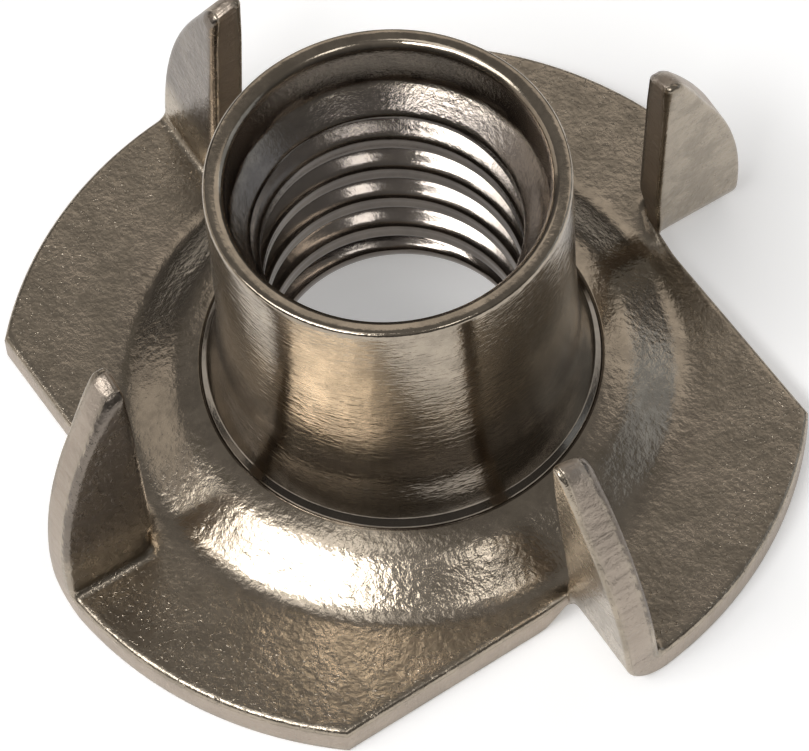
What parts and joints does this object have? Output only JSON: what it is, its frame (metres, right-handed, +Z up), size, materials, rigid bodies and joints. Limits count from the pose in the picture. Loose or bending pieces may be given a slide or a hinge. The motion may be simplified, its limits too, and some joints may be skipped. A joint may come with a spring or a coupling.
{
  "type": "tee nut",
  "caption": "Pronged tee nut for wood: a threaded barrel drawn up from a round sheet-metal flange whose rim is cut and bent into upright prongs.",
  "frame": {"origin": "on the barrel's axis at the flange's flat underside", "axes": "+Z up the barrel towards its open mouth; the four flange lobes are centred on +X, +Y, -X and -Y"},
  "size_m": [0.022, 0.022, 0.0105],
  "materials": {
    "plated_steel": "bright zinc or nickel plating on pressed steel, glossy and warm grey, with a fine orange-peel on the flange and duller sheared edges"
  },
  "bodies": {
    "root": {"tee_nut": "plated_steel"}
  },
  "joints": []
}
